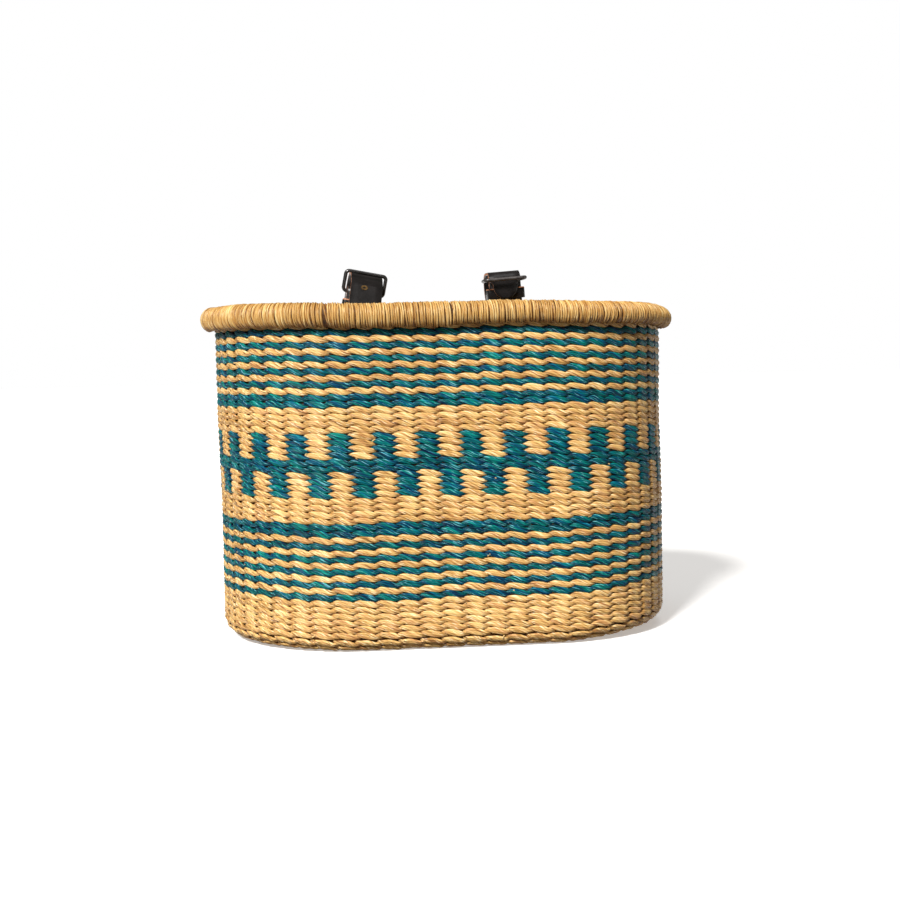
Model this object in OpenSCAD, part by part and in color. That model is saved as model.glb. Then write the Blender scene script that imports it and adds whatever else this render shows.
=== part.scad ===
// Oblong twined grass basket that hangs on a handlebar by two buckled leather straps.
// Frame: +Z up, the front of the basket faces -Y, origin at the middle of the base on its underside.

/* [Basket plan] */
// Width of the woven wall, outside to outside
wall_w = 328; // [300:1:360]
// Depth of the woven wall, front to back, outside to outside
wall_d = 208; // [200:1:230]
// Radius of the two front corners
front_corner_r = 98; // [80:1:98]
// Radius of the two back corners
back_corner_r = 70; // [50:1:80]

/* [Weave] */
// Height of one twined row of weft
row_pitch = 4.445; // [4.3:0.005:4.46]
// Height of the middle of the top row
top_row_z = 225; // [224:0.5:226]
// Number of upright stakes round the wall, twice this many strands cross them
stake_count = 60; // [50:2:64]
// How far the first stake stands from the middle of the front, to the right
stake_shift = -4.1; // [-7:0.1:7]
// Diameter of a stake
stake_d = 2.4; // [1.6:0.1:2.4]
// Thickness of the outer passes of the weft, and of the inner passes
skin_t = 2.2; // [1.8:0.1:2.2]
// Radius of the turn from the base into the wall
turn_r = 12; // [10:0.5:14]

/* [Rim] */
// Diameter of the wrapped rim
rim_d = 17; // [16.5:0.1:17.5]
// Diameter of the grass bundle inside the rim
rim_core_d = 11; // [9:0.1:11.5]
// Height of the middle of the rim
rim_z = 232.3; // [232:0.1:233]
// How far the middle of the rim lies outside the face of the wall
rim_out = 2.2; // [1.4:0.1:2.4]

/* [Straps] */
// Width of the leather strap
strap_w = 26; // [22:0.5:26]
// Thickness of the leather strap
strap_t = 2.4; // [2:0.1:2.4]
// Distance between the middles of the two straps, where they pass through the wall
strap_spacing = 135; // [120:1:138]
// How far the pair of straps sits to the right of the middle
strap_shift = 5.5; // [0:0.1:10]
// Width of the tongue that the right strap's tail is cut to
tongue_w = 20; // [16:1:24]
// How far the left strap leans over to the right, in degrees
left_lean = 11; // [0:1:12]
// How far the right strap leans over to the left, in degrees
right_lean = 4; // [0:1:6]
// Height of the left buckle's heel bar
left_heel_z = 253.3; // [252.5:0.1:254]
// Height of the right buckle's heel bar
right_heel_z = 261.5; // [260.5:0.1:262]
// Height of the upper pair of slits in the back wall
upper_slit_z = 205; // [200:1:208]
// Height of the lower pair of slits in the back wall
lower_slit_z = 165; // [160:1:165]

/* [Buckles] */
// Thickness of the buckle's wire
wire_d = 3; // [2.5:0.1:3.2]
// Clear width inside the buckle
buckle_inner_w = 30; // [30:0.5:32]
// Distance from the heel bar to the tip bar, middle to middle
buckle_reach = 16.5; // [15.5:0.5:17]
// How far the right buckle has slipped to the left along its fold
right_slip = 1.2; // [0:0.1:1.2]
// Width of the keeper along the strap
keeper_h = 9; // [7:0.5:10]

/* [Hidden] */
$fn = 48;

grass = "#d9b26a";
rim_grass = "#c29048";
teal = "#0d7f80";
leather = "#1d1a1b";
steel = "#8f8d8a";
black_steel = "#141414";
brass = "#b48a3c";

// The outline of the wall: flat front, wide front corners, straight sides, tighter back corners, flat back
half_w = wall_w / 2;
front_y = -wall_d / 2;
back_y = wall_d / 2;
front_cx = half_w - front_corner_r;
front_cy = front_y + front_corner_r;
back_cx = half_w - back_corner_r;
back_cy = back_y - back_corner_r;
wall_t = 2 * skin_t + stake_d + 0.2;

// Middle of the stakes, as a distance outside the wall's face
stake_out = -skin_t - 0.1 - stake_d / 2;
stake_top = rim_z - rim_core_d / 2 + 0.7;

// Heights of the bands of weft, each between the middles of two neighbouring rows
wall_top = rim_z - sqrt(pow(rim_d / 2, 2) - pow(rim_out, 2)) - 0.3;
function row_top(k) = top_row_z - row_pitch * (k - 0.5);
upper_striped_rows = [0, 12];
upper_plain_rows = [13, 16];
pattern_rows = [17, 26];
lower_plain_rows = [27, 30];
lower_striped_rows = [31, 42];
lower_natural_rows = [43, 50];

// Straps
upper_turn_r = 13.5;
slit_turn_r = 4;
loop_foot_r = 20;
loop_top_r = 14;
bar_y = back_y + 17.5;
fold_r = wire_d / 2 + 0.3 + strap_t / 2;
run_y = bar_y - fold_r;
inner_run_y = back_y - wall_t - 1.8 - strap_t / 2;
rear_layer_y = run_y + strap_t + 0.1;
lean_pivot_z = (upper_slit_z + lower_slit_z) / 2;
loop_top_y = bar_y + 14;
loop_foot = [back_y + 0.5, lower_slit_z + loop_foot_r];
left_loop_top = [loop_top_y, left_heel_z + 2];
left_nose = [bar_y + 0.5, left_heel_z - 0.8];
left_nose_r = 8.6;
rim_middle = [back_y + rim_out, rim_z];
drape_gap = 0.3 + strap_w / 2 * sin(left_lean) + (rim_z - lean_pivot_z) * (1 - cos(left_lean));
drape_r = rim_d / 2 + drape_gap + strap_t / 2;
right_loop_top = [loop_top_y, right_heel_z - 8.1];
right_nose = [bar_y - 0.8, right_heel_z - 1.8];
right_nose_r = right_loop_top[1] + loop_top_r - right_nose[1];
right_tail_end = right_heel_z - 15.3;
left_tail_end = rim_z - 10;
rivet_drop = 27;
fold_drop = 32;
fold_kink_drop = 5;
keeper_drop = 6.5;
keeper_t = 2;
keeper_play = 0.6;
keeper_gap = 0.3;
keeper_corner_r = 2.2;
keeper_inner_r = 0.6;
tongue_len = 13;
slit_clearance = 1;
rivet_r = 1.5;
rivet_head_r = 3.2;
rivet_head_h = 0.8;
frame_corner_r = 2.8;
prong_slot_w = 5.2;
prong_len = buckle_reach + 1;
prong_hang = -40;
prong_r = 1.1;
prong_eye_r = 2.9;
prong_eye_w = 3.8;
prong_play = 0.06;
left_frame_turn = 5;
right_frame_turn = 88;
eyelet_bore_r = 1.2;
eyelet_shank_r = 1.8;
eyelet_flange_r = 2.8;
eyelet_flange_h = 0.4;
eyelet_drop = 3.2;

// Angle between neighbouring sections of a bent strap
bend_step = 6;

// Points of an arc about c, from angle a0 to angle a1
function arc(c, r, a0, a1) =
    let (n = max(2, ceil(abs(a1 - a0) / bend_step)))
    [for (i = [0:n]) let (a = a0 + (a1 - a0) * i / n) c + r * [cos(a), sin(a)]];

// Heading of the straight stretch that runs from an arc about c0 to an arc about c1, both turning left
function heading(c0, r0, c1, r1) =
    let (d = c1 - c0, a = atan2(d[1], d[0]))
    (a < 0 ? a + 360 : a) + asin((r0 - r1) / norm(d));

// Middle line of a strap, from the riveted end of its fold to the start of its loop
function fold_and_slits(heel_z) = concat(
    [[rear_layer_y, heel_z - fold_drop], [rear_layer_y, heel_z - fold_kink_drop]],
    arc([bar_y, heel_z], fold_r, -18, 180),
    arc([run_y - upper_turn_r, upper_slit_z + upper_turn_r], upper_turn_r, 0, -90),
    arc([inner_run_y + slit_turn_r, upper_slit_z - slit_turn_r], slit_turn_r, 90, 180),
    arc([inner_run_y + slit_turn_r, lower_slit_z + slit_turn_r], slit_turn_r, 180, 270));

loop_rise_left = heading(loop_foot, loop_foot_r, left_loop_top, loop_top_r);
loop_rise_right = heading(loop_foot, loop_foot_r, right_loop_top, loop_top_r);
left_fall = heading(left_loop_top, loop_top_r, left_nose, left_nose_r);
left_tail_fall = heading(left_nose, left_nose_r, rim_middle, drape_r);

left_line = concat(
    fold_and_slits(left_heel_z),
    arc(loop_foot, loop_foot_r, -90, loop_rise_left - 90),
    arc(left_loop_top, loop_top_r, loop_rise_left - 90, left_fall - 90),
    arc(left_nose, left_nose_r, left_fall - 90, left_tail_fall - 90),
    arc(rim_middle, drape_r, left_tail_fall - 90, 180),
    [[rim_middle[0] - drape_r, left_tail_end]]);

right_line = concat(
    fold_and_slits(right_heel_z),
    arc(loop_foot, loop_foot_r, -90, loop_rise_right - 90),
    arc(right_loop_top, loop_top_r, loop_rise_right - 90, 90),
    arc(right_nose, right_nose_r, 90, 180),
    [[right_nose[0] - right_nose_r, right_tail_end]]);

// Directions along a line and to its left, at its point i
function along(p, i) = let (d = p[min(i + 1, len(p) - 1)] - p[max(i - 1, 0)]) d / norm(d);
function left_of(p, i) = let (d = along(p, i)) [-d[1], d[0]];
// Outline of a strip of thickness t about a middle line
function strip(p, t) = concat(
    [for (i = [0:len(p) - 1]) p[i] + left_of(p, i) * t / 2],
    [for (i = [len(p) - 1:-1:0]) p[i] - left_of(p, i) * t / 2]);

// Where the hole in each tail sits, and which way the tail faces there
left_eyelet_at = left_nose + left_nose_r * [cos(left_tail_fall - 90), sin(left_tail_fall - 90)]
    + eyelet_drop * [cos(left_tail_fall), sin(left_tail_fall)];
left_eyelet_tilt = left_tail_fall - 90;
right_hole_rise = 7;
right_hole_at = [right_nose[0] - right_nose_r, right_tail_end + right_hole_rise];
right_hole_tilt = 180;
prong_hole_r = 1;

// ---- Shapes shared by several pieces ----

// One stretch of the outline: the profile is drawn with X as the distance outside the wall's face
module sector(centre, r, from, sweep) {
    translate([centre[0], centre[1], 0]) rotate([0, 0, from]) rotate_extrude(angle = sweep, $fn = 180)
        translate([r, 0]) children();
}
module straight(start, turn, length) {
    translate([start[0], start[1], 0]) rotate([0, 0, turn]) rotate([90, 0, 0])
        linear_extrude(length) children();
}
module around() {
    straight([front_cx, front_y], -90, 2 * front_cx) children();
    sector([front_cx, front_cy], front_corner_r, -90, 90) children();
    straight([half_w, back_cy], 0, back_cy - front_cy) children();
    sector([back_cx, back_cy], back_corner_r, 0, 90) children();
    straight([-back_cx, back_y], 90, 2 * back_cx) children();
    sector([-back_cx, back_cy], back_corner_r, 90, 90) children();
    straight([-half_w, front_cy], 180, back_cy - front_cy) children();
    sector([-front_cx, front_cy], front_corner_r, 180, 90) children();
}
module ring(outside, inside, low, high) {
    around() translate([-inside, low]) square([inside - outside, high - low]);
}
// A flat plate inside the outline, drawn in by inset
module plate(inset, low, high) {
    h = high - low;
    translate([0, 0, low]) {
        for (side = [-1, 1]) {
            translate([side * front_cx, front_cy, 0]) cylinder(h = h, r = front_corner_r - inset, $fn = 180);
            translate([side * back_cx, back_cy, 0]) cylinder(h = h, r = back_corner_r - inset, $fn = 180);
        }
        translate([inset - half_w, front_cy, 0]) cube([wall_w - 2 * inset, back_cy - front_cy, h]);
        translate([-back_cx, front_cy, 0]) cube([2 * back_cx, back_y - inset - front_cy, h]);
        translate([-front_cx, front_y + inset, 0]) cube([2 * front_cx, back_cy - front_y - inset, h]);
    }
}
module place_left() {
    translate([strap_shift - strap_spacing / 2, 0, lean_pivot_z]) rotate([0, left_lean, 0])
        translate([0, 0, -lean_pivot_z]) children();
}
module place_right() {
    translate([strap_shift + strap_spacing / 2, 0, lean_pivot_z]) rotate([0, -right_lean, 0])
        translate([0, 0, -lean_pivot_z]) children();
}
// The four slits through the back wall that the straps are threaded through
module slits() {
    for (z = [upper_slit_z, lower_slit_z]) {
        place_left() slit(z);
        place_right() slit(z);
    }
}
module slit(z) {
    c = slit_clearance;
    translate([-strap_w / 2 - c, back_y - wall_t - 3, z - strap_t / 2 - c])
        cube([strap_w + 2 * c, wall_t + 6, strap_t + 2 * c]);
}

// ---- Basket ----

module base_weave() {
    color(grass) plate(turn_r, 0, wall_t);
}
module wall_weave() {
    inner = turn_r - wall_t;
    color(grass) difference() {
        around() {
            translate([-wall_t, turn_r]) square([skin_t, wall_top - turn_r]);
            intersection() {
                translate([-turn_r, turn_r]) difference() {
                    circle(r = turn_r, $fn = 96);
                    circle(r = inner, $fn = 96);
                }
                translate([-turn_r, 0]) square(turn_r);
            }
        }
        slits();
    }
}
// Distance along the outline to the end of each of its stretches, from the middle of the front
front_corner_len = front_corner_r * PI / 2;
side_len = back_cy - front_cy;
back_corner_len = back_corner_r * PI / 2;
half_len = front_cx + front_corner_len + side_len + back_corner_len + back_cx;
function walk(s, out) =
    s < front_cx ? [s, front_y - out] :
    s < front_cx + front_corner_len ?
        let (a = (s - front_cx) / front_corner_r * 180 / PI)
        [front_cx + (front_corner_r + out) * sin(a), front_cy - (front_corner_r + out) * cos(a)] :
    s < front_cx + front_corner_len + side_len ?
        [half_w + out, front_cy + s - front_cx - front_corner_len] :
    s < half_len - back_cx ?
        let (a = (s - front_cx - front_corner_len - side_len) / back_corner_r * 180 / PI)
        [back_cx + (back_corner_r + out) * cos(a), back_cy + (back_corner_r + out) * sin(a)] :
        [half_len - s, back_y + out];
module stakes() {
    color(grass) difference() {
        for (i = [0:stake_count - 1]) {
            s = stake_shift + (i / stake_count - 0.5) * 2 * half_len;
            t = s < -half_len ? s + 2 * half_len : s;
            p = walk(abs(t), stake_out);
            translate([sign(t) * p[0], p[1], turn_r + 1])
                cylinder(d = stake_d, h = stake_top - turn_r - 1, $fn = 24);
        }
        slits();
    }
}
module band(rows) {
    low = max(turn_r, row_top(rows[1] + 1));
    high = min(wall_top, row_top(rows[0]));
    difference() {
        ring(0, skin_t, low, high);
        if (high > lower_slit_z - 8) slits();
    }
}
module lower_natural_weft() { color(grass) band(lower_natural_rows); }
module lower_striped_weft() { color(teal) band(lower_striped_rows); }
module lower_plain_weft() { color(grass) band(lower_plain_rows); }
module pattern_weft() { color(teal) band(pattern_rows); }
module upper_plain_weft() { color(grass) band(upper_plain_rows); }
module upper_striped_weft() { color(teal) band(upper_striped_rows); }

module rim_core() {
    color(grass) around() translate([rim_out, rim_z]) circle(d = rim_core_d, $fn = 64);
}
// The wrap is open along its underside, where the stakes run up into the rim
module rim_wrap() {
    color(rim_grass) around() difference() {
        translate([rim_out, rim_z]) circle(d = rim_d, $fn = 64);
        translate([rim_out, rim_z]) circle(d = rim_core_d + 0.1, $fn = 64);
        translate([stake_out - stake_d / 2 - 0.4, rim_z - rim_d / 2]) square([stake_d + 0.8, rim_d / 2 - 2]);
    }
}

// ---- Straps, drawn upright and then leaned over ----

module bent_strap(line, heel_z, tail, tail_z, tail_w, hole_at, hole_tilt, hole_r) {
    difference() {
        rotate([90, 0, 90]) linear_extrude(strap_w, center = true) polygon(strip(line, strap_t));
        // slot for the prong, through the fold and down its rear layer
        translate([-prong_slot_w / 2, run_y - 1.4, heel_z - 4]) cube([prong_slot_w, 2 * fold_r + 3, 8.4]);
        translate([-prong_slot_w / 2, bar_y, heel_z - 13]) cube([prong_slot_w, 6, 12]);
        // hole for the rivet
        translate([0, run_y - 4, heel_z - rivet_drop]) rotate([-90, 0, 0]) cylinder(r = rivet_r, h = 10);
        // hole for the eyelet or, with no eyelet, for the prong
        translate([0, hole_at[0], hole_at[1]]) rotate([hole_tilt - 90, 0, 0])
            cylinder(r = hole_r, h = 6, center = true);
        // the tail is cut to a tongue with a half-round end
        difference() {
            translate([-strap_w / 2 - 1, tail - 3, tail_z - 1]) cube([strap_w + 2, 6, tongue_len]);
            translate([0, tail, tail_z + tail_w / 2]) {
                rotate([90, 0, 0]) cylinder(r = tail_w / 2, h = 8, center = true, $fn = 96);
                translate([-tail_w / 2, -4, 0]) cube([tail_w, 8, tongue_len]);
            }
        }
    }
}
module strap_rivet(heel_z) {
    front = run_y - strap_t / 2;
    back = rear_layer_y + strap_t / 2;
    translate([0, 0, heel_z - rivet_drop]) {
        translate([0, front, 0]) rotate([-90, 0, 0]) cylinder(r = rivet_r, h = back - front);
        translate([0, front - rivet_head_h, 0])
            rotate([-90, 0, 0]) cylinder(r = rivet_head_r, h = rivet_head_h);
        translate([0, back, 0]) rotate([-90, 0, 0]) cylinder(r = rivet_head_r, h = rivet_head_h);
    }
}
module keeper(heel_z) {
    in_x = strap_w / 2 + keeper_play;
    front = run_y - strap_t / 2 - keeper_gap;
    back = rear_layer_y + strap_t / 2 + keeper_gap;
    translate([0, 0, heel_z - keeper_drop - keeper_h]) linear_extrude(keeper_h) difference() {
        round_box(-in_x - keeper_t, front - keeper_t, in_x + keeper_t, back + keeper_t, keeper_corner_r);
        round_box(-in_x, front, in_x, back, keeper_inner_r);
    }
}
module round_box(x0, y0, x1, y1, r) {
    translate([x0 + r, y0]) square([x1 - x0 - 2 * r, y1 - y0]);
    translate([x0, y0 + r]) square([x1 - x0, y1 - y0 - 2 * r]);
    for (x = [x0 + r, x1 - r], y = [y0 + r, y1 - r]) translate([x, y]) circle(r = r, $fn = 32);
}
// The wire frame, with its heel bar on the hinge axis and its tip bar straight up, turned forwards
module buckle_frame(heel_z, turn, slip) {
    r = wire_d / 2;
    x = buckle_inner_w / 2 + r;
    corner = frame_corner_r;
    translate([-slip, bar_y, heel_z]) rotate([turn, 0, 0]) {
        for (z = [0, buckle_reach])
            translate([-(x - corner), 0, z]) rotate([0, 90, 0]) cylinder(r = r, h = 2 * (x - corner));
        for (side = [-1, 1]) {
            translate([side * x, 0, corner]) cylinder(r = r, h = buckle_reach - 2 * corner);
            translate([side * (x - corner), 0, corner]) rotate([90, 0, 0]) rotate([0, 0, side > 0 ? -90 : 180])
                rotate_extrude(angle = 90) translate([corner, 0]) circle(r = r, $fn = 32);
            translate([side * (x - corner), 0, buckle_reach - corner]) rotate([90, 0, 0])
                rotate([0, 0, side > 0 ? 0 : 90])
                    rotate_extrude(angle = 90) translate([corner, 0]) circle(r = r, $fn = 32);
        }
    }
}
// The prong turns on the heel bar and hangs down behind the fold
module prong(heel_z) {
    translate([0, bar_y, heel_z]) rotate([prong_hang, 0, 0]) difference() {
        union() {
            rotate([0, 90, 0]) cylinder(r = prong_eye_r, h = prong_eye_w, center = true);
            rotate([-90, 0, 0]) cylinder(r = prong_r, h = prong_len - prong_r);
            translate([0, prong_len - prong_r, 0]) sphere(r = prong_r);
        }
        rotate([0, 90, 0]) cylinder(r = wire_d / 2 + prong_play, h = 8, center = true);
    }
}
module eyelet(at, tilt) {
    half = strap_t / 2;
    translate([0, at[0], at[1]]) rotate([tilt - 90, 0, 0]) difference() {
        union() {
            cylinder(r = eyelet_shank_r, h = 2 * half, center = true);
            translate([0, 0, half]) cylinder(r = eyelet_flange_r, h = eyelet_flange_h);
            translate([0, 0, -half - eyelet_flange_h]) cylinder(r = eyelet_flange_r, h = eyelet_flange_h);
        }
        cylinder(r = eyelet_bore_r, h = 8, center = true);
    }
}

module left_strap() {
    color(leather) place_left() bent_strap(left_line, left_heel_z, rim_middle[0] - drape_r, left_tail_end,
        strap_w, left_eyelet_at, left_eyelet_tilt, eyelet_shank_r);
}
module left_strap_rivet() { color(brass) place_left() strap_rivet(left_heel_z); }
module left_keeper() { color(leather) place_left() keeper(left_heel_z); }
module left_buckle_frame() { color(black_steel) place_left() buckle_frame(left_heel_z, left_frame_turn, 0); }
module left_prong() { color(black_steel) place_left() prong(left_heel_z); }
module left_eyelet() { color(brass) place_left() eyelet(left_eyelet_at, left_eyelet_tilt); }
module right_strap() {
    color(leather) place_right() bent_strap(right_line, right_heel_z, right_hole_at[0], right_tail_end,
        tongue_w, right_hole_at, right_hole_tilt, prong_hole_r);
}
module right_strap_rivet() { color(brass) place_right() strap_rivet(right_heel_z); }
module right_keeper() { color(leather) place_right() keeper(right_heel_z); }
module right_buckle_frame() {
    color(steel) place_right() buckle_frame(right_heel_z, right_frame_turn, right_slip);
}
module right_prong() { color(steel) place_right() prong(right_heel_z); }

base_weave();
wall_weave();
stakes();
lower_natural_weft();
lower_striped_weft();
lower_plain_weft();
pattern_weft();
upper_plain_weft();
upper_striped_weft();
rim_core();
rim_wrap();
left_strap();
left_strap_rivet();
left_keeper();
left_buckle_frame();
left_prong();
left_eyelet();
right_strap();
right_strap_rivet();
right_keeper();
right_buckle_frame();
right_prong();
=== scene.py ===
import math

import bpy
import numpy as np
from mathutils import Matrix, Vector


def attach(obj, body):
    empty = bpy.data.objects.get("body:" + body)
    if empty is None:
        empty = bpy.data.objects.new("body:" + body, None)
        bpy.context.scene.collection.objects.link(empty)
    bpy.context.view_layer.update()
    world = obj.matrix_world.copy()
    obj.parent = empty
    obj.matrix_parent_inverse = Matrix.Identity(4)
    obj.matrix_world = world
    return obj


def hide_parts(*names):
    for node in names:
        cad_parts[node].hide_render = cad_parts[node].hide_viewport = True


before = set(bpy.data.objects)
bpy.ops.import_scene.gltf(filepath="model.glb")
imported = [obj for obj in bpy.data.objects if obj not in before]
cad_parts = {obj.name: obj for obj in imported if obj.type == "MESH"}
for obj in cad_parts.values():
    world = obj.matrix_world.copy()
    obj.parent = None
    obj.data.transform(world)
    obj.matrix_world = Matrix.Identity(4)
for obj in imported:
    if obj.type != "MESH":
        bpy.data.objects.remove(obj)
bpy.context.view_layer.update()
rng = np.random.default_rng(7)
MM = 0.001

# ---- The basket's plan and profile, in millimetres, as in the CAD ----
HALF_W, FRONT_Y, BACK_Y = 164.0, -104.0, 104.0
FRONT_R, BACK_R = 98.0, 70.0
TURN_R = 12.0
STAKE_IN = 3.5
TOP_Z, PITCH = 225.0, 4.445
STITCHES = 60
# How far the stakes' even spacing is turned round the plan, as a length and as a fraction of the way round
STAKE_SHIFT = -4.1
STAKE_START = STAKE_SHIFT / 927.8
# Smallest corner radius of the plan when it is drawn far in
LEAST_R = 2.0
RIM_OUT, RIM_Z, RIM_R = 2.2, 232.3, 8.5
STRAP_W, STRAP_T = 26.0, 2.4
STRAP_X = {"left": 5.5 - 67.5, "right": 5.5 + 67.5}
STRAP_LEAN = {"left": 11.0, "right": -4.0}
HEEL_Z = {"left": 253.3, "right": 261.5}
UPPER_SLIT_Z, LOWER_SLIT_Z = 205.0, 165.0
PIVOT_Z = (UPPER_SLIT_Z + LOWER_SLIT_Z) / 2


def plan_legs(inset):
    """The lines and quarter circles of the plan drawn in by inset, anticlockwise from the front's middle."""
    w, f, b = HALF_W - inset, FRONT_Y + inset, BACK_Y - inset
    rf, rb = max(FRONT_R - inset, LEAST_R), max(BACK_R - inset, LEAST_R)
    return [("line", (0, f), (w - rf, f)), ("arc", (w - rf, f + rf), rf, -90),
            ("line", (w, f + rf), (w, b - rb)), ("arc", (w - rb, b - rb), rb, 0),
            ("line", (w - rb, b), (rb - w, b)), ("arc", (rb - w, b - rb), rb, 90),
            ("line", (-w, b - rb), (-w, f + rf)), ("arc", (rf - w, f + rf), rf, 180),
            ("line", (rf - w, f), (0, f))]


def leg_length(leg):
    """Length of a line from its ends, or of a quarter circle from its radius."""
    return math.dist(leg[1], leg[2]) if leg[0] == "line" else leg[2] * math.pi / 2


def outline(s, inset):
    """Points and outward normals at fractions s of the way round the plan drawn in by inset, and its length.

    Fraction 0 is the front's middle.
    """
    legs = plan_legs(inset)
    lengths = np.array([leg_length(leg) for leg in legs])
    ends = np.cumsum(lengths)
    d = (np.asarray(s) % 1.0) * ends[-1]
    xy, nor = np.zeros((len(d), 2)), np.zeros((len(d), 2))
    which = np.minimum(np.searchsorted(ends, d, side="right"), len(legs) - 1)
    for i, leg in enumerate(legs):
        m = which == i
        if not m.any():
            continue
        u = d[m] - (ends[i] - lengths[i])
        if leg[0] == "line":
            a, e = np.array(leg[1], float), np.array(leg[2], float)
            t = (e - a) / max(lengths[i], 1e-9)
            xy[m] = a + u[:, None] * t
            nor[m] = (t[1], -t[0])
        else:
            ang = np.radians(leg[3]) + u / leg[2]
            n = np.stack([np.cos(ang), np.sin(ang)], 1)
            xy[m] = np.array(leg[1]) + leg[2] * n
            nor[m] = n
    return xy, nor, ends[-1]


# The weave's middle goes down the wall, round the turned edge and in along the base
TURN_MID = TURN_R - STAKE_IN
WALL_T = TOP_Z - TURN_R
TURN_T = TURN_MID * math.pi / 2


def profile(t):
    """Inset, height and turning angle of the weave's middle at a distance t along it from the top row."""
    if t <= WALL_T:
        return STAKE_IN, TOP_Z - t, 0.0
    if t <= WALL_T + TURN_T:
        a = (t - WALL_T) / TURN_MID
        return TURN_R - TURN_MID * math.cos(a), TURN_R - TURN_MID * math.sin(a), a
    return TURN_R + t - WALL_T - TURN_T, STAKE_IN, math.pi / 2


# ---- Meshes ----
def mesh_object(name, verts, faces, mats, tone=None, uv=None, face_mat=None):
    """A smooth mesh in metres from arrays in millimetres, with a tone and a uv pair per vertex."""
    me = bpy.data.meshes.new(name)
    faces = np.asarray(faces, dtype=np.int32)
    me.vertices.add(len(verts))
    me.vertices.foreach_set("co", (np.asarray(verts) * MM).astype(np.float32).ravel())
    me.loops.add(faces.size)
    me.loops.foreach_set("vertex_index", faces.ravel())
    me.polygons.add(len(faces))
    me.polygons.foreach_set("loop_start", np.arange(0, faces.size, faces.shape[1], dtype=np.int32))
    me.update(calc_edges=True)
    if tone is not None:
        at = me.attributes.new("tone", "FLOAT", "POINT")
        at.data.foreach_set("value", np.asarray(tone, dtype=np.float32))
    if uv is not None:
        layer = me.uv_layers.new(name="UVMap")
        layer.data.foreach_set("uv", np.asarray(uv, dtype=np.float32)[faces.ravel()].ravel())
    for m in mats:
        me.materials.append(m)
    if face_mat is not None:
        me.polygons.foreach_set("material_index", np.asarray(face_mat, dtype=np.int32))
    me.polygons.foreach_set("use_smooth", np.ones(len(faces), dtype=bool))
    me.validate()
    ob = bpy.data.objects.new(name, me)
    bpy.context.collection.objects.link(ob)
    return ob


def tube_faces(n_ring, n_side, closed):
    """Quads of a tube of n_ring rings with n_side points each."""
    r = np.arange(n_ring if closed else n_ring - 1)[:, None]
    c = np.arange(n_side)[None, :]
    r2, c2 = (r + 1) % n_ring, (c + 1) % n_side
    return np.stack([r * n_side + c, r * n_side + c2, r2 * n_side + c2, r2 * n_side + c], -1).reshape(-1, 4)


class Batch:
    """Collects several tubes into one mesh."""

    def __init__(self):
        self.v, self.f, self.tone, self.uv, self.n = [], [], [], [], 0

    def add(self, verts, faces, tone, uv):
        self.v.append(verts)
        self.f.append(faces + self.n)
        self.tone.append(tone)
        self.uv.append(uv)
        self.n += len(verts)

    def build(self, name, mat):
        return mesh_object(name, np.concatenate(self.v), np.concatenate(self.f), [mat],
                           np.concatenate(self.tone), np.concatenate(self.uv))


def wobble(n, scale, size):
    """Closed smooth random values of about +-size, changing over 1 / scale of the loop."""
    x = np.arange(n) / n * 2 * math.pi
    out = np.zeros(n)
    for k in range(1, scale + 1):
        out += rng.normal(0, 1) * np.cos(k * x) + rng.normal(0, 1) * np.sin(k * x)
    return size * out / math.sqrt(scale)


# Lobed section of a strand made of a few stalks side by side: (thickness, height) of each point
LOBES = np.array([(0, -1), (0.86, -0.68), (0.58, -0.33), (1.18, 0.0), (0.58, 0.33), (0.86, 0.68),
                  (0, 1), (-0.86, 0.67), (-0.9, 0.0), (-0.86, -0.67)])
# How much darker each of those points is, as painted shade: the top and bottom edges where rows meet and the
# grooves between stalks; the outermost point is a little lighter, a painted highlight
PAINTED_GROOVE_SHADE = np.array([0.22, -0.02, 0.36, -0.08, 0.36, -0.02, 0.22, 0.0, 0.05, 0.0])
# Painted shade: how much darker a strand gets where it dives under the other one
TIP_SHADE = 0.26
# Turns of the streaks round the strand per millimetre along it
TWIST = 0.040
# Spreads the strands far apart in the streak pattern, so that no two rows look alike
SHUFFLE = 310.0
# Sections per stitch
PER_STITCH = 8
# A strand swings out and in by SWING and up and down by DROP, and bulges out by BULGE between two stakes.
# PROUD moves the whole row outwards.
SWING, DROP, BULGE, PROUD = 2.15, 0.98, 2.0, 0.25
HALF_THICK = 1.3
# Half height of a strand between two stakes and what it gains over a stake, in half pitches
TIP_HIGH, GAIN_HIGH = 0.58, 0.56
# Where every strand starts and ends, short of the stakes' shift: the back's middle
BACK_MIDDLE = 0.5
# Sizes of the unevenness of a hand-made basket in millimetres, each with the end that it grows towards
# (1 is +X) and the distances from the middle between which it grows
RIM_LIFTS = [(-2.6, 1, 40, 172), (-4.0, 1, 138, 172), (1.4, -1, 60, 172), (-1.8, -1, 138, 172)]
BASE_LIFTS = [(4.5, 1, 60, 165), (2.2, -1, 70, 165)]
LEVEL_Z = 232.0
# How far the upper wall leans towards -X, and the rim's right end besides
WALL_LEAN, END_LEAN = 1.4, 1.0
# How far rows of weft part for a strap, up and down from its slit, and the reach of that
PART, PART_REACH = 1.7, 14.0
PART_MARGIN, PART_EDGE = 9, 8
# Only the stretches of the rows behind this plane meet the straps
BACK_ROWS_Y = 90


def ease(x, a, b):
    """A smooth step from 0 at a to 1 at b."""
    u = np.clip((x - a) / (b - a), 0, 1)
    return u * u * (3 - 2 * u)


def uneven(x, lifts):
    """The sum of smooth steps outwards along X."""
    return sum(size * ease(end * x, near, far) for size, end, near, far in lifts)


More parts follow.
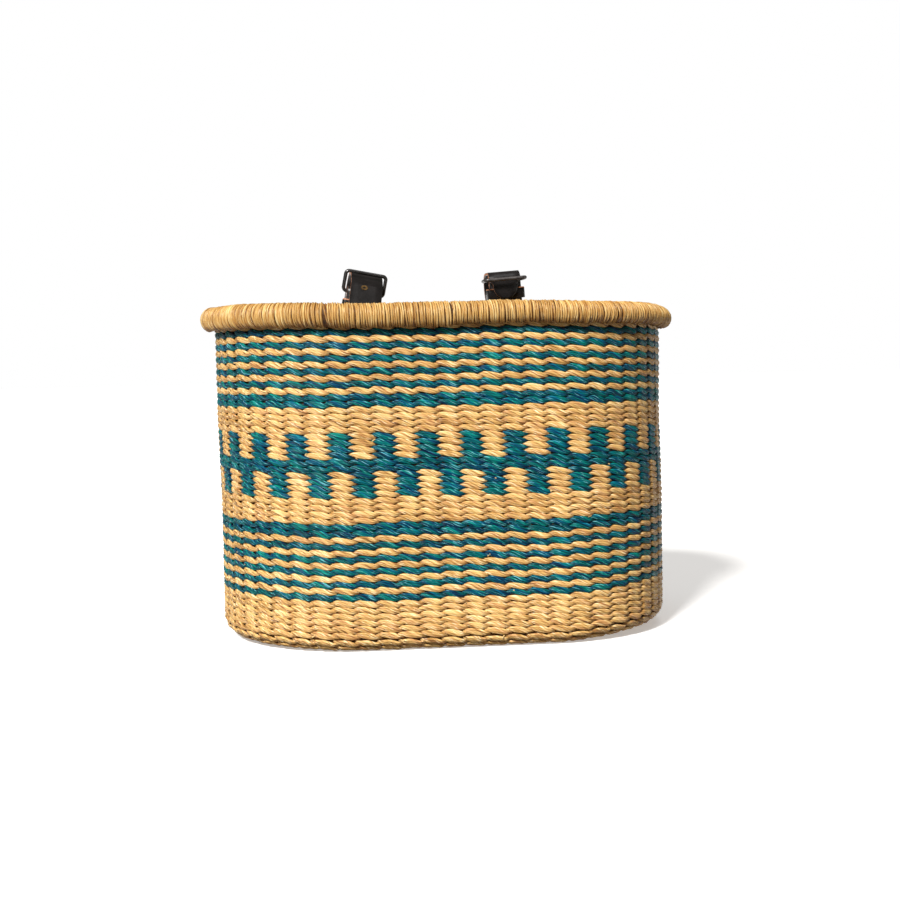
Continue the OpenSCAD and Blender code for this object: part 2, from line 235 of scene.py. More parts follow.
def warp(v):
    """The unevenness of a hand-made basket: the rim dips to the right, the base lifts towards its ends."""
    x, y, z = v[:, 0], v[:, 1], v[:, 2]
    high = np.clip(z / LEVEL_Z, 0, 1)
    wave = 0.45 * np.sin(x / 23.0 + z / 37.0) + 0.35 * np.sin(x / 11.0 - z / 19.0 + y / 40.0)
    lean = WALL_LEAN * ease(z, 95, 165) + END_LEAN * ease(x, 120, 172) * ease(z, 222, 226)
    out = v.copy()
    out[:, 0] -= lean
    out[:, 2] += uneven(x, RIM_LIFTS) * high ** 2 + uneven(x, BASE_LIFTS) * (1 - high) ** 3
    out[:, 2] += wave * np.clip(z / 30.0, 0, 1) * (1 - 0.5 * high)
    return out


def strap_parting(x, y, z):
    """How far rows of weft near a strap's slits are pushed up or down to let the strap through."""
    push = np.zeros_like(z)
    for side in ("left", "right"):
        for zs in (UPPER_SLIT_Z, LOWER_SLIT_Z):
            a = math.radians(STRAP_LEAN[side])
            xc = STRAP_X[side] + (zs - PIVOT_Z) * math.sin(a)
            zc = PIVOT_Z + (zs - PIVOT_Z) * math.cos(a) - (x - xc) * math.sin(a)
            beside = STRAP_W / 2 + PART_MARGIN - np.abs(x - xc)
            near = np.clip(beside / PART_EDGE, 0, 1) * (y > BACK_ROWS_Y)
            d = z - zc
            push += near * np.sign(d) * PART * np.clip(1 - np.abs(d) / PART_REACH, 0, 1)
    return push


def strand_rings(mid, out_way, up_way, c, s, out, fat):
    """The lobed section swept along the strand: wide over a stake, narrow where the two strands cross."""
    n, k = len(mid), len(LOBES)
    full = np.abs(c)
    high = 0.5 * PITCH * (TIP_HIGH + GAIN_HIGH * full) * (1 + wobble(n, 50, 0.06)) * fat
    thick = HALF_THICK * (0.72 + 0.28 * full) * (1 + wobble(n, 50, 0.04))
    side = np.where(out >= 0, 1.0, -1.0)[:, None]
    lobe_out = LOBES[:, 0] * thick[:, None] * side * (1 + rng.normal(0, 0.06, (n, k)))
    lobe_up = LOBES[:, 1] * high[:, None]
    lobe_out += 0.16 * s[:, None] * lobe_up * side
    return (mid[:, None, :] + out_way[:, None, :] * lobe_out[:, :, None]
            + up_way[:, None, :] * lobe_up[:, :, None])


def strand_tones(n, tone, c):
    """A tone per point of every section: uneven along the strand, with painted shade at its tips, where it
    dives under the other strand, and in its grooves.
    """
    # Painted shade at the tips, where the strand dives under the other one
    tones = tone + wobble(n, 40, 0.07) - TIP_SHADE * (1 - np.abs(c)) ** 2
    per_lobe = rng.normal(0, 0.05, (1, len(PAINTED_GROOVE_SHADE)))
    # Painted shade in the grooves and along the top and bottom edges, from the table above
    return np.clip(tones[:, None] - PAINTED_GROOVE_SHADE[None, :] + per_lobe, 0, 1)


def closed(rings):
    """The rings with the first one repeated at the end."""
    return np.concatenate([rings, rings[:1]])


def strand(batch, t, stitches, flip, tone, per=PER_STITCH, proud=PROUD, fat=1.0):
    """One of the two strands of a row of weft: a flattened helix round the stakes."""
    inset, z, turn = profile(t)
    n, k = stitches * per, len(LOBES)
    i = np.arange(n)
    theta = math.pi * (i / per) + (math.pi if flip else 0) + wobble(n, 40, 0.10) * 0.5
    c, s = np.cos(theta), np.sin(theta)
    xy, nor, length = outline(i / n + STAKE_START + BACK_MIDDLE, inset)
    out = (SWING * c + BULGE * s * s) * (1 + wobble(n, 60, 0.04)) + proud
    lift = -DROP * s + wobble(n, 30, 0.12)
    out_way = np.column_stack([nor * math.cos(turn), np.full(n, -math.sin(turn))])
    up_way = np.column_stack([nor * math.sin(turn), np.full(n, math.cos(turn))])
    mid = np.stack([xy[:, 0], xy[:, 1], np.full(n, z)], 1)
    mid += out_way * out[:, None] + up_way * lift[:, None]
    if turn == 0.0:
        mid[:, 2] += strap_parting(mid[:, 0], mid[:, 1], mid[:, 2])
    verts = closed(strand_rings(mid, out_way, up_way, c, s, out, fat))
    tones = closed(strand_tones(n, tone, c))
    u = np.repeat((np.arange(n + 1) / n * length)[:, None], k, 1)
    v = np.repeat(np.arange(k)[None, :] / k, n + 1, 0) + TWIST * u + tone * SHUFFLE
    batch.add(warp(verts.reshape(-1, 3)), tube_faces(n + 1, k, False), tones.ravel(),
              np.stack([u, v], -1).reshape(-1, 2))


# ---- Which rows are dyed: rows counted down from the rim ----
SOLID_TEAL = [1, 3, 5, 7, 9, 11, 12, 21, 22, 31, 32, 34, 36, 38, 40, 42]
MIXED_UPPER, MIXED_LOWER = [17, 18, 19, 20], [23, 24, 25, 26]
BANDS = {"upper_striped_weft": (0, 12), "upper_plain_weft": (13, 16), "pattern_weft": (17, 26),
         "lower_plain_weft": (27, 30), "lower_striped_weft": (31, 42), "lower_natural_weft": (43, 50)}


def is_teal(row, flip):
    """Whether a strand of a row is dyed. Mixed rows have one dyed strand, the other one in the lower half."""
    if row in SOLID_TEAL:
        return True
    if row in MIXED_UPPER:
        return flip
    return row in MIXED_LOWER and not flip


# ---- Node materials ----
def new_material(name):
    """An empty material with its node tree and its one shader."""
    mat = bpy.data.materials.new(name)
    mat.use_nodes = True
    nt = mat.node_tree
    nt.nodes.clear()
    out = nt.nodes.new("ShaderNodeOutputMaterial")
    bsdf = nt.nodes.new("ShaderNodeBsdfPrincipled")
    nt.links.new(bsdf.outputs[0], out.inputs[0])
    return mat, nt, bsdf


def node(nt, kind, **values):
    """A new node, with values for its sockets or its settings by name."""
    n = nt.nodes.new(kind)
    for key, v in values.items():
        if key in n.inputs:
            n.inputs[key].default_value = v
        else:
            setattr(n, key, v)
    return n


def ramp(nt, factor, stops):
    """A colour ramp of (position, colour) stops."""
    r = nt.nodes.new("ShaderNodeValToRGB")
    el = r.color_ramp.elements
    while len(el) < len(stops):
        el.new(0.5)
    for e, (pos, col) in zip(el, stops):
        e.position = pos
        e.color = (*col, 1)
    nt.links.new(factor, r.inputs[0])
    return r.outputs[0]


def mix(nt, kind, factor, a, b):
    """Two colours mixed; factor, a and b are sockets or plain values."""
    m = nt.nodes.new("ShaderNodeMix")
    m.data_type = "RGBA"
    m.blend_type = kind
    for sock, val in ((m.inputs[0], factor), (m.inputs[6], a), (m.inputs[7], b)):
        if isinstance(val, bpy.types.NodeSocket):
            nt.links.new(val, sock)
        elif isinstance(val, (int, float)):
            sock.default_value = val
        else:
            sock.default_value = (*val, 1)
    return m.outputs[2]


def math_node(nt, op, a, b=0.0):
    """One sum or product; a and b are sockets or plain values."""
    m = nt.nodes.new("ShaderNodeMath")
    m.operation = op
    for sock, val in ((m.inputs[0], a), (m.inputs[1], b)):
        if isinstance(val, bpy.types.NodeSocket):
            nt.links.new(val, sock)
        else:
            sock.default_value = val
    return m.outputs[0]


def weighted_sum(nt, parts, offset):
    """The sum of sockets, each times its weight, plus an offset."""
    total = offset
    for socket, weight in parts:
        total = math_node(nt, "ADD", math_node(nt, "MULTIPLY", socket, weight), total)
    return total


def stretched_noise(nt, uv, along, across, detail, gain):
    """Noise drawn out along the strand, with its contrast raised about the middle."""
    mapping = node(nt, "ShaderNodeMapping")
    mapping.inputs["Scale"].default_value = (along, across, 1)
    nt.links.new(uv, mapping.inputs[0])
    noise = node(nt, "ShaderNodeTexNoise", Scale=1.0, Detail=detail, Roughness=0.6)
    nt.links.new(mapping.outputs[0], noise.inputs["Vector"])
    return weighted_sum(nt, [(noise.outputs[0], gain)], 0.5 - 0.5 * gain)


def fibre_material(name, stops, other, pale, pale_at, roughness, shine, across=7.0, other_at=0.5):
    """Grass stalks: streaks along the strand in two mixed colours, thin bright lines of painted highlight,
    and grooves darkened by the painted shade carried in the tone attribute.

    pale is the colour of the painted highlights. pale_at and other_at say how rare the painted highlights and
    the other colour are.
    """
    mat, nt, bsdf = new_material(name)
    uv = node(nt, "ShaderNodeUVMap", uv_map="UVMap").outputs[0]
    fine = stretched_noise(nt, uv, 0.05, across * 0.85, 2.0, 3.8)
    thin = stretched_noise(nt, uv, 0.10, across * 1.6, 2.0, 3.0)
    slow = stretched_noise(nt, uv, 0.035, 0.5, 2.0, 1.3)
    kind = stretched_noise(nt, uv, 0.03, across * 0.6, 1.0, 3.0)
    # The tone attribute carries each strand's own tone together with its painted shade and painted highlight
    tone = node(nt, "ShaderNodeAttribute", attribute_name="tone").outputs["Fac"]
    total = weighted_sum(nt, [(fine, 0.40), (thin, 0.30), (slow, 0.16), (tone, 0.55)], -0.18)
    which = ramp(nt, kind, [(other_at, (0, 0, 0)), (min(other_at + 0.2, 1.0), (1, 1, 1))])
    base = mix(nt, "MIX", which, ramp(nt, total, stops), ramp(nt, total, other))
    # Painted highlights: where the thin streaks run highest, the colour is mixed towards pale
    light = ramp(nt, thin, [(pale_at, (0, 0, 0)), (min(pale_at + 0.12, 1.0), (1, 1, 1))])
    base = mix(nt, "MIX", math_node(nt, "MULTIPLY", light, 0.7), base, pale)
    nt.links.new(base, bsdf.inputs["Base Color"])
    nt.links.new(weighted_sum(nt, [(fine, 0.2)], roughness - 0.1), bsdf.inputs["Roughness"])
    bsdf.inputs["Specular IOR Level"].default_value = shine
    bump = node(nt, "ShaderNodeBump", Strength=0.7, Distance=0.0003)
    nt.links.new(math_node(nt, "ADD", fine, thin), bump.inputs["Height"])
    nt.links.new(bump.outputs[0], bsdf.inputs["Normal"])
    return mat


def object_material(name, colour_a, colour_b, scale, roughness, metallic=0.0, bump=0.15, coat=0.0,
                    shine=0.5):
    """Leather or metal with fine mottling read in the object's own space."""
    mat, nt, bsdf = new_material(name)
    tc = node(nt, "ShaderNodeTexCoord")
    big = node(nt, "ShaderNodeTexNoise", Scale=scale, Detail=6.0, Roughness=0.6)
    small = node(nt, "ShaderNodeTexVoronoi", Scale=scale * 9)
    nt.links.new(tc.outputs["Object"], big.inputs["Vector"])
    nt.links.new(tc.outputs["Object"], small.inputs["Vector"])
    nt.links.new(ramp(nt, big.outputs[0], [(0.3, colour_a), (0.7, colour_b)]), bsdf.inputs["Base Color"])
    nt.links.new(weighted_sum(nt, [(big.outputs[0], 0.3)], roughness - 0.15), bsdf.inputs["Roughness"])
    bsdf.inputs["Metallic"].default_value = metallic
    bsdf.inputs["Specular IOR Level"].default_value = shine
    bsdf.inputs["Coat Weight"].default_value = coat
    bp = node(nt, "ShaderNodeBump", Strength=bump, Distance=0.0002)
    nt.links.new(small.outputs[0], bp.inputs["Height"])
    nt.links.new(bp.outputs[0], bsdf.inputs["Normal"])
    return mat


STRAW = [(0.0, (0.14, 0.056, 0.012)), (0.25, (0.40, 0.205, 0.054)), (0.5, (0.66, 0.405, 0.138)),
         (0.75, (0.80, 0.57, 0.24)), (1.0, (0.93, 0.76, 0.43))]
PEACH_STRAW = [(0.0, (0.13, 0.045, 0.012)), (0.25, (0.37, 0.165, 0.050)), (0.5, (0.63, 0.345, 0.130)),
               (0.75, (0.80, 0.53, 0.25)), (1.0, (0.93, 0.73, 0.45))]
TEAL = [(0.0, (0.0005, 0.006, 0.012)), (0.25, (0.0005, 0.034, 0.046)), (0.5, (0.0005, 0.112, 0.106)),
        (0.78, (0.001, 0.225, 0.175)), (1.0, (0.02, 0.38, 0.30))]
BLUE = [(0.0, (0.0005, 0.004, 0.016)), (0.25, (0.0005, 0.018, 0.052)), (0.5, (0.0005, 0.060, 0.120)),
        (0.78, (0.001, 0.140, 0.205)), (1.0, (0.03, 0.28, 0.35))]
RIM_STRAW = [(0.0, (0.055, 0.017, 0.002)), (0.25, (0.24, 0.095, 0.014)), (0.5, (0.48, 0.255, 0.067)),
             (0.76, (0.66, 0.43, 0.15)), (1.0, (0.88, 0.70, 0.36))]
RIM_BROWN = [(0.0, (0.035, 0.010, 0.001)), (0.25, (0.16, 0.058, 0.008)), (0.5, (0.37, 0.175, 0.040)),
             (0.76, (0.56, 0.33, 0.10)), (1.0, (0.78, 0.57, 0.26))]
# Painted shade: the core bundle and the backing are coloured far darker than straw, for the shade in the gaps
# between stitches and turns
CORE_STRAW_PAINTED_SHADE = [(0.0, (0.015, 0.006, 0.002)), (0.6, (0.08, 0.033, 0.010)), (1.0, (0.16, 0.075, 0.025))]
natural = fibre_material("natural_grass", STRAW, PEACH_STRAW, (0.97, 0.86, 0.60), 0.84, 0.5, 0.3,
                         other_at=0.55)
dyed = fibre_material("dyed_grass", TEAL, BLUE, (0.22, 0.58, 0.66), 0.84, 0.42, 0.10, other_at=0.45)
rim_mat = fibre_material("rim_grass", RIM_STRAW, RIM_BROWN, (0.88, 0.72, 0.42), 0.82, 0.4, 0.35,
                         across=6.0, other_at=0.62)
core_shade_mat = fibre_material("core_grass_painted_shade", CORE_STRAW_PAINTED_SHADE, CORE_STRAW_PAINTED_SHADE, (0.2, 0.1, 0.04), 0.88, 0.7, 0.2)
leather = object_material("strap_leather", (0.002, 0.0017, 0.0017), (0.009, 0.007, 0.007), 60, 0.36,
                          bump=0.35, shine=0.30)
raw_edge = object_material("leather_raw_edge", (0.34, 0.13, 0.06), (0.52, 0.25, 0.14), 220, 0.8, bump=0.5)
black_wire = object_material("black_wire", (0.006, 0.006, 0.006), (0.016, 0.015, 0.015), 90, 0.24,
                             bump=0.05, coat=0.6)
grey_wire = object_material("grey_wire", (0.045, 0.040, 0.040), (0.12, 0.11, 0.105), 120, 0.42,
                            metallic=0.8, bump=0.1)
brass = object_material("brass", (0.03, 0.018, 0.008), (0.27, 0.16, 0.055), 240, 0.42,
                        metallic=0.85, bump=0.1)


# ---- Weave ----
def build_band(name, rows):
    """The natural and the dyed strands of one band of rows, as two pieces at most."""
    parts = {True: Batch(), False: Batch()}
    for row in range(rows[0], rows[1] + 1):
        row_tone = rng.normal(0.5, 0.05)
        for flip in (False, True):
            teal = is_teal(row, flip)
            tone = float(np.clip(row_tone + rng.normal(0, 0.05), 0.1, 0.95))
            strand(parts[teal], row * PITCH, STITCHES, flip, tone)
    made = []
    for teal, batch in parts.items():
        if batch.n:
            ob = batch.build(name + ("_dyed" if teal else "_natural"), dyed if teal else natural)
            made.append(ob)
    return made


def build_weave():
    """All bands of the wall. The lowest one's strands also stand for the inner passes and the turned edge."""
    bodies = []
    for name, rows in BANDS.items():
        made = build_band(name, rows)
        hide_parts(*([name, "wall_weave"] if name == "lower_natural_weft" else [name]))
        bodies += made
    return bodies


# Rows of the base, its sections per stitch, and how much taller its strands are than the wall's
FIRST_BASE_ROW, LAST_BASE_ROW = 51, 71
BASE_PER_STITCH, BASE_FAT = 4, 1.3
BASE_PROUD, TUCKED_PROUD = -0.35, -1.4
STITCH_LENGTH = 15.46
# Inset of the pinched row that closes the middle of the base
MIDDLE_INSET = 103.4


def base_rows():
    """Depth and outward offset of each row of the base, of one at the turned edge and one in the middle."""
    rows = [(row * PITCH, BASE_PROUD) for row in range(FIRST_BASE_ROW, LAST_BASE_ROW + 1)]
    tucked = ((FIRST_BASE_ROW - 0.5) * PITCH, TUCKED_PROUD)
    return rows + [tucked, (WALL_T + TURN_T - TURN_R + MIDDLE_INSET, BASE_PROUD)]


def build_base():
    """Rows of weft round and round the base, with fewer stitches as they get shorter."""
    batch = Batch()
    for t, proud in base_rows():
        length = outline(np.zeros(1), profile(t)[0])[2]
        stitches = max(10, int(round(length / STITCH_LENGTH / 2)) * 2)
        for flip in (False, True):
            tone = float(np.clip(rng.normal(0.5, 0.1), 0.1, 0.9))
            strand(batch, t, stitches, flip, tone, per=BASE_PER_STITCH, proud=proud, fat=BASE_FAT)
    ob = batch.build("base_rows", natural)
    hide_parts("base_weave")
    return ob


def build_filling():
    """A dark ribbed backing between the two strands of the rows, so that no light gets through the weave; its
    dark colour is painted shade for the gaps between stitches.
    """
    n = STITCHES * PER_STITCH
    i = np.arange(n)
    out = PROUD + BULGE * np.sin(math.pi * i / PER_STITCH) ** 2
    depths = np.arange(FIRST_BASE_ROW + 1) * PITCH
    rings = []
    for t in depths:
        inset, z, turn = profile(t)
        xy, nor, _length = outline(i / n + STAKE_START + BACK_MIDDLE, inset)
        plan = xy + nor * (out * math.cos(turn))[:, None]
        rings.append(np.stack([plan[:, 0], plan[:, 1], z - out * math.sin(turn)], 1))
    uv = np.stack([np.tile(i * 2.0, len(depths)), np.repeat(depths / 5, n)], 1)
    verts = warp(np.concatenate(rings))
    faces = tube_faces(len(depths), n, False)
    ob = mesh_object("weave_filling", verts, faces, [core_shade_mat], np.full(len(verts), 0.5), uv)
    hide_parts("stakes")
    return ob


CUT_ENDS, CUT_SIDES = 90, 6
# Outline of a cut end: distance along it and width, as fractions
CUT_OUTLINE = ((0, 1.0), (0.5, 1.05), (1.0, 0.9), (1.0, 0.02))


def cut_end(batch):
    """One short cut end of a stalk, at a random place and slant."""
    row, frac = rng.uniform(1, 49), rng.uniform(0, 1)
    inset, z, _turn = profile(row * PITCH)
    xy, nor, _length = outline(np.array([frac]), inset)
    out_way = np.array([nor[0, 0], nor[0, 1], 0.0])
    along = np.array([-nor[0, 1], nor[0, 0], 0.0]) * rng.choice([-1.0, 1.0])
    start = np.array([xy[0, 0], xy[0, 1], z]) + out_way * 2.6
    way = along * rng.uniform(0.4, 1.0) + out_way * rng.uniform(0.25, 0.7)
    way += np.array([0, 0, rng.uniform(-0.6, 0.6)])
    way /= np.linalg.norm(way)
    length, wide = rng.uniform(1.6, 3.6), rng.uniform(0.3, 0.55)
    side = np.cross(way, out_way)
    side /= np.linalg.norm(side)
    other = np.cross(way, side)
    ang = np.arange(CUT_SIDES) / CUT_SIDES * 2 * math.pi
    loop = wide * (np.cos(ang)[:, None] * side + 0.6 * np.sin(ang)[:, None] * other)
    rings = [start + way * length * f + loop * w for f, w in CUT_OUTLINE]
    verts = np.concatenate(rings)
    n = len(rings)
    around = np.tile(np.arange(CUT_SIDES) / CUT_SIDES, n)
    uv = np.stack([np.repeat(np.arange(float(n)), CUT_SIDES), around], 1)
    batch.add(warp(verts), tube_faces(n, CUT_SIDES, False), np.full(len(verts), 0.65), uv)


def build_cut_ends():
    """Short cut ends of stalks that stick out between the stitches here and there."""
    batch = Batch()
    for _ in range(CUT_ENDS):
        cut_end(batch)
    ob = batch.build("cut_ends", natural)
    return ob


# ---- Rim ----
# How much lower the underside of the rim hangs along the left half of the front
LEFT_RIM_DROP = 1.6
# How much the rim stands out past its nominal place at the front and the ends, and how much higher it sits
RIM_SWELL, RIM_RAISE = 0.5, 0.6
# Length of the loop along which the wrapping's turns are spaced, and the sections of one turn
WRAP_LOOP, WRAP_SECTIONS = 935.0, 22
# Half the angle that a turn spans, short of a whole turn so that its ends stay apart underneath
WRAP_SPAN = 2.9
# A turn's section: position across it, rise off the bundle, and tone; the tone is painted shade towards the
# edges, where the turns meet, and a little painted highlight along the middle
WRAP_SECTION = ((-0.5, -1.0, -0.55), (-0.28, 0.08, -0.04), (0.0, 0.34, 0.06), (0.28, 0.08, -0.04),
                (0.5, -1.0, -0.55))


def rim_point(s, angle, radius):
    """A point on the rim's section, angle 0 outwards and 90 degrees up, at fraction s round the rim."""
    xy, nor, _length = outline(s, -RIM_OUT)
    out = radius * np.cos(angle) + RIM_SWELL * (1 - ease(xy[:, 1], 30, 90))
    left_half = ease(-xy[:, 0], -2, 3) * ease(-xy[:, 1], -60, 0)
    low = left_half * LEFT_RIM_DROP * (1 - np.sin(angle)) / 2
    return warp(np.stack([xy[:, 0] + nor[:, 0] * out, xy[:, 1] + nor[:, 1] * out,
                          RIM_Z + RIM_RAISE + radius * np.sin(angle) - low], 1))


def build_rim_core():
    """The bundle of stalks inside the wrapping, coloured dark as painted shade where it shows between turns.
    """
    n, k = 480, 14
    s = np.repeat(np.arange(n) / n, k)
    a = np.tile(np.arange(k) / k * 2 * math.pi, n)
    r = RIM_R - 1.6 + rng.normal(0, 0.12, n * k)
    batch = Batch()
    batch.add(rim_point(s, a, r), tube_faces(n, k, True), rng.uniform(0.2, 0.6, n * k),
              np.stack([s * 900, a / 6.283], 1))
    ob = batch.build("rim_bundle", core_shade_mat)
    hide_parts("rim_core")
    return ob


def wrap_turn(batch, s0, lean, radius, width, tone):
    """One turn of the wrapping: a flat stalk bent round the rim, crossing it at a slight angle."""
    n, k = WRAP_SECTIONS, len(WRAP_SECTION)
    a = math.pi / 2 + np.linspace(WRAP_SPAN, -WRAP_SPAN, n)
    s = s0 + lean * np.linspace(-0.5, 0.5, n) + 0.00022 * np.sin(a * 2 + tone * 9)
    lines = []
    for across, rise, _shade in WRAP_SECTION:
        lines.append(rim_point(s + across * width / WRAP_LOOP, a, radius + rise + rng.normal(0, 0.05, n)))
    verts = np.stack(lines, 1).reshape(-1, 3)
    r = np.arange(n - 1)[:, None]
    c = np.arange(k - 1)[None, :]
    faces = np.stack([r * k + c, r * k + c + 1, (r + 1) * k + c + 1, (r + 1) * k + c], -1).reshape(-1, 4)
    uv = np.stack([np.repeat(np.arange(n) * 2.4, k), np.tile(np.arange(k) / k, n) + tone * SHUFFLE], 1)
    # Painted shade along each turn's edges, for the dark lines between turns
    edges = np.array([shade for _across, _rise, shade in WRAP_SECTION])
    # Painted shadow: the underside of each turn is darkened, for the shadow between the rim and the row below
    # it
    underside_painted_shade = -0.44 * ease(-np.sin(a), 0.45, 0.95)
    batch.add(verts, faces[:, ::-1], np.clip(tone + edges[None, :] + underside_painted_shade[:, None], 0, 1).ravel(), uv)


# Fractions round the rim where one length of wrapping stops and the next starts
RIM_SEAMS = (0.0, 0.126, 0.37, 0.5, 0.68, 0.911)
# How near a seam turns are darker, lower and more slanted
SEAM_REACH = 2.0
# A turn's mean width and its spread in millimetres, and how far round the rim it leans, as a fraction
WRAP_WIDTH, WRAP_SPREAD, WRAP_LEAN = 1.6, 0.26, 0.0034


def build_rim_wrap():
    """Turn after turn of the wrapping, until it is round the whole rim."""
    batch = Batch()
    drift = wobble(2000, 30, 0.35)
    s = 0.0
    while s < 1.0:
        width = float(np.clip(rng.normal(WRAP_WIDTH, WRAP_SPREAD), 1.1, 2.4))
        here = drift[int(s * 1999)]
        radius = RIM_R - 0.85 + here * 0.4 + rng.normal(0, 0.16)
        lean = WRAP_LEAN + rng.normal(0, 0.0008) + here * 0.0012
        tone = float(np.clip(rng.normal(0.62 + here * 0.2, 0.12), 0, 1))
        if min(abs(s - seam) for seam in RIM_SEAMS) * WRAP_LOOP < SEAM_REACH:
            tone = max(tone - 0.3, 0.0)
            radius -= 0.45
            lean += rng.normal(0.003, 0.003)
        wrap_turn(batch, s + STAKE_SHIFT / WRAP_LOOP, lean, radius, width * 1.1, tone)
        s += width / WRAP_LOOP
    ob = batch.build("rim_wrapping", rim_mat)
    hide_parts("rim_wrap")
    return ob


# ---- Straps: side sections in (y, z), as in the CAD ----
WIRE_R, GAP = 1.5, 0.3
WALL_THICK, INNER_GAP = 7.0, 1.8
BAR_Y = BACK_Y + 17.5
FOLD_R = WIRE_R + GAP + STRAP_T / 2
RUN_Y = BAR_Y - FOLD_R
REAR_Y = RUN_Y + STRAP_T + 0.1
INNER_Y = BACK_Y - WALL_THICK - INNER_GAP - STRAP_T / 2
LEFT_LEAN = math.radians(STRAP_LEAN["left"])
DRAPE_R = (RIM_R + GAP + STRAP_T / 2 + STRAP_W / 2 * math.sin(LEFT_LEAN)
           + (RIM_Z - PIVOT_Z) * (1 - math.cos(LEFT_LEAN)))
RIM_MID = np.array([BACK_Y + RIM_OUT, RIM_Z])
# Radii of the strap's bends: at the loop's foot and top, into the upper slit, and behind the inside pass
FOOT_R, TOP_R, SLIT_R, PASS_R = 20.0, 14.0, 13.5, 4.0


def arc(c, r, a0, a1):
    """Points about every 5 degrees along an arc round c."""
    n = max(3, int(abs(a1 - a0) / 5))
    a = np.radians(np.linspace(a0, a1, n + 1))
    return [(c[0] + r * math.cos(t), c[1] + r * math.sin(t)) for t in a]


def heading(c0, r0, c1, r1):
    """Direction in degrees of the line that runs off the arc round c0 and on to the arc round c1."""
    d = np.subtract(c1, c0)
    a = math.degrees(math.atan2(d[1], d[0])) % 360
    return a + math.degrees(math.asin((r0 - r1) / math.hypot(*d)))


def left_tail(top, hz, rise):
    """Over the top of the loop, down round the nose and over the rim into the basket."""
    nose, nose_r = (BAR_Y + 0.5, hz - 0.8), 8.6
    fall = heading(top, TOP_R, nose, nose_r)
    tail = heading(nose, nose_r, RIM_MID, DRAPE_R)
    line = arc(top, TOP_R, rise - 90, fall - 90) + arc(nose, nose_r, fall - 90, tail - 90)
    return line + arc(RIM_MID, DRAPE_R, tail - 90, 180) + [(RIM_MID[0] - DRAPE_R, RIM_Z - 10)]


def right_tail(top, hz, rise):
    """Over the top of the loop and straight down in front of the fold."""
    nose = (BAR_Y - 0.8, hz - 1.8)
    nose_r = top[1] + TOP_R - nose[1]
    line = arc(top, TOP_R, rise - 90, 90) + arc(nose, nose_r, 90, 180)
    return line + [(nose[0] - nose_r, hz - 11), (nose[0] - nose_r, hz - 15.3)]


# Width and length of each tail's tongue
TONGUES = {"left": (STRAP_W, 13.0), "right": (20.0, 12.0)}
LOOP_TOP_RISE = {"left": 2.0, "right": -8.1}


def strap_line(side):
    """The strap's middle: fold, run down to the upper slit, inside pass, lower slit, loop and tail."""
    hz = HEEL_Z[side]
    foot = (BACK_Y + 0.5, LOWER_SLIT_Z + FOOT_R)
    top = (BAR_Y + TOP_R, hz + LOOP_TOP_RISE[side])
    rise = heading(foot, FOOT_R, top, TOP_R)
    line = [(REAR_Y, hz - 32), (REAR_Y, hz - 20), (REAR_Y, hz - 5)]
    line += arc((BAR_Y, hz), FOLD_R, -18, 180)
    line += arc((RUN_Y - SLIT_R, UPPER_SLIT_Z + SLIT_R), SLIT_R, 0, -90)
    line += arc((INNER_Y + PASS_R, UPPER_SLIT_Z - PASS_R), PASS_R, 90, 180)
    line += arc((INNER_Y + PASS_R, LOWER_SLIT_Z + PASS_R), PASS_R, 180, 270)
    line += arc(foot, FOOT_R, -90, rise - 90)
    line += left_tail(top, hz, rise) if side == "left" else right_tail(top, hz, rise)
    return np.array(line)


def resample(line, step):
    """Points at even steps along the line, with their distances along it."""
    d = np.concatenate([[0], np.cumsum(np.hypot(*np.diff(line, axis=0).T))])
    t = np.linspace(0, d[-1], int(d[-1] / step) + 1)
    return np.stack([np.interp(t, d, line[:, 0]), np.interp(t, d, line[:, 1])], 1), t


def place(side, pts):
    """Leans points of a strap drawn upright about X = 0 over, and moves them to their side."""
    a = math.radians(STRAP_LEAN[side])
    x, y, z = pts[:, 0], pts[:, 1], pts[:, 2] - PIVOT_Z
    return np.stack([STRAP_X[side] + x * math.cos(a) + z * math.sin(a), y,
                     PIVOT_Z - x * math.sin(a) + z * math.cos(a)], 1)


# The prong's slot: half its width, and how far along the strip from its riveted end it starts and stops
SLOT_HALF = 2.6
SLOT = (19.0, 46.6)
# How far each tail has crept sideways, and over which stretch before its end
TAIL_SHIFT = {"left": 1.9, "right": -0.6}
SHIFT_STRETCH = (80, 48)
# Size of the strip's bevel and of the steps along it
BEVEL, STRIP_STEP = 0.45, 0.9


def strip_section():
    """The strip's section: each corner as a fraction of the half width, a height and a set-in."""
    h = STRAP_T / 2
    c = SLOT_HALF / (STRAP_W / 2)
    upper = [(-1, h - BEVEL, 0), (-1, h, BEVEL), (-0.5, h, 0), (-c, h, 0), (c, h, 0), (0.5, h, 0),
             (1, h, BEVEL), (1, h - BEVEL, 0)]
    lower = [(across, -off, inward) for across, off, inward in reversed(upper)]
    return lower[-1:] + upper + lower[:-1]


def half_width(rest, tongue):
    """Half the strip's width at a distance from its tail's end: a round-ended tongue and soft shoulders."""
    tip = tongue[0] / 2
    round_end = np.sqrt(np.maximum(tip ** 2 - (tip - np.clip(rest, 0.05, tip)) ** 2, 0.3))
    shoulder = np.clip((rest - tongue[1]) / 3.0, 0, 1)
    return round_end + (STRAP_W / 2 - tip) * shoulder * shoulder * (3 - 2 * shoulder)


def slot_walls(k, first, last):
    """The walls of the slot between two rings of k points: its ends and its sides."""
    walls = [[last * k + 4, last * k + 5, last * k + 12, last * k + 13],
             [first * k + 13, first * k + 12, first * k + 5, first * k + 4]]
    for r in range(first, last):
        walls.append([r * k + 4, (r + 1) * k + 4, (r + 1) * k + 13, r * k + 13])
        walls.append([r * k + 12, (r + 1) * k + 12, (r + 1) * k + 5, r * k + 5])
    return np.array(walls)


